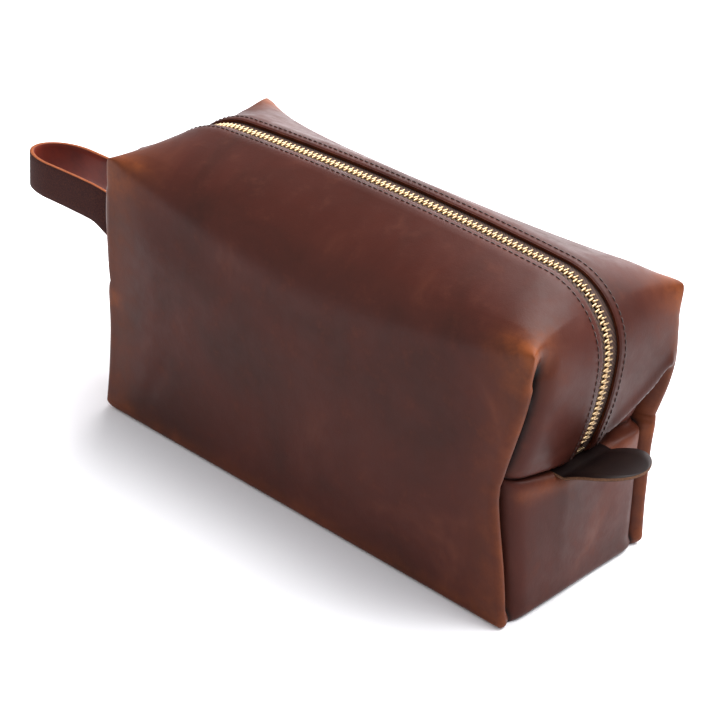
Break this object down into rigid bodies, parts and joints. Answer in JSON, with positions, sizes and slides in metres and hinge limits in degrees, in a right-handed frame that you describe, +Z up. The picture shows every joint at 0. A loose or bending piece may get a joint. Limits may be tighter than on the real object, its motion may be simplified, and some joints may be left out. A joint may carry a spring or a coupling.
{
  "type": "shaving kit bag",
  "caption": "Boxed leather wash bag with a metal zip over the top and both ends, a looped strap handle and a grab tab.",
  "frame": {"origin": "centre of the bag's flat bottom, on the surface it stands on", "axes": "+X along the bag to the end with the grab tab, -X to the end with the strap handle, -Y to the front panel, +Z up"},
  "size_m": [0.3947, 0.1034, 0.1529],
  "materials": {
    "body_leather": "oiled pull-up leather, satin",
    "strap_leather": "oiled pull-up leather, satin",
    "tab_leather": "dark matt leather",
    "zip_tape": "woven twill tape",
    "zip_brass": "polished",
    "thread": "waxed thread"
  },
  "bodies": {
    "bag": {"leather_body": "body_leather", "zip_tape_front": "zip_tape", "zip_tape_back": "zip_tape", "zip_teeth_front": "zip_brass", "zip_teeth_back": "zip_brass", "zip_top_stops": "zip_brass", "zip_bottom_stop": "zip_brass", "handle_root_front": "strap_leather", "handle_root_back": "strap_leather", "end_tab_root": "tab_leather", "topstitch_front": "thread", "topstitch_back": "thread", "end_seam_thread_tab": "thread", "end_seam_thread_handle": "thread"},
    "slider": {"slider_body": "zip_brass", "slider_crown": "zip_brass"},
    "puller": {"zip_puller": "zip_brass"},
    "handle": {"handle_strap": "strap_leather"},
    "tab": {"end_tab": "tab_leather"}
  },
  "joints": [
    {"name": "slider_run", "type": "hinge", "parent": "bag", "child": "slider", "pos_m": [-0.0903, 0, 0.10251], "axis": [0, 1, 0], "range_deg": [0, 102], "deforming": ["zip_teeth_front", "zip_teeth_back"]},
    {"name": "pull_swing", "type": "hinge", "parent": "slider", "child": "puller", "pos_m": [-0.13398, 0, 0.08168], "axis": [0, 1, 0], "range_deg": [0, 60]},
    {"name": "handle_swing", "type": "hinge", "parent": "bag", "child": "handle", "pos_m": [-0.12509, 0, 0.066], "axis": [0, 1, 0], "range_deg": [-45, 0]},
    {"name": "end_tab_swing", "type": "hinge", "parent": "bag", "child": "tab", "pos_m": [0.12475, 0, 0.063], "axis": [0, 1, 0], "range_deg": [-20, 35]}
  ]
}
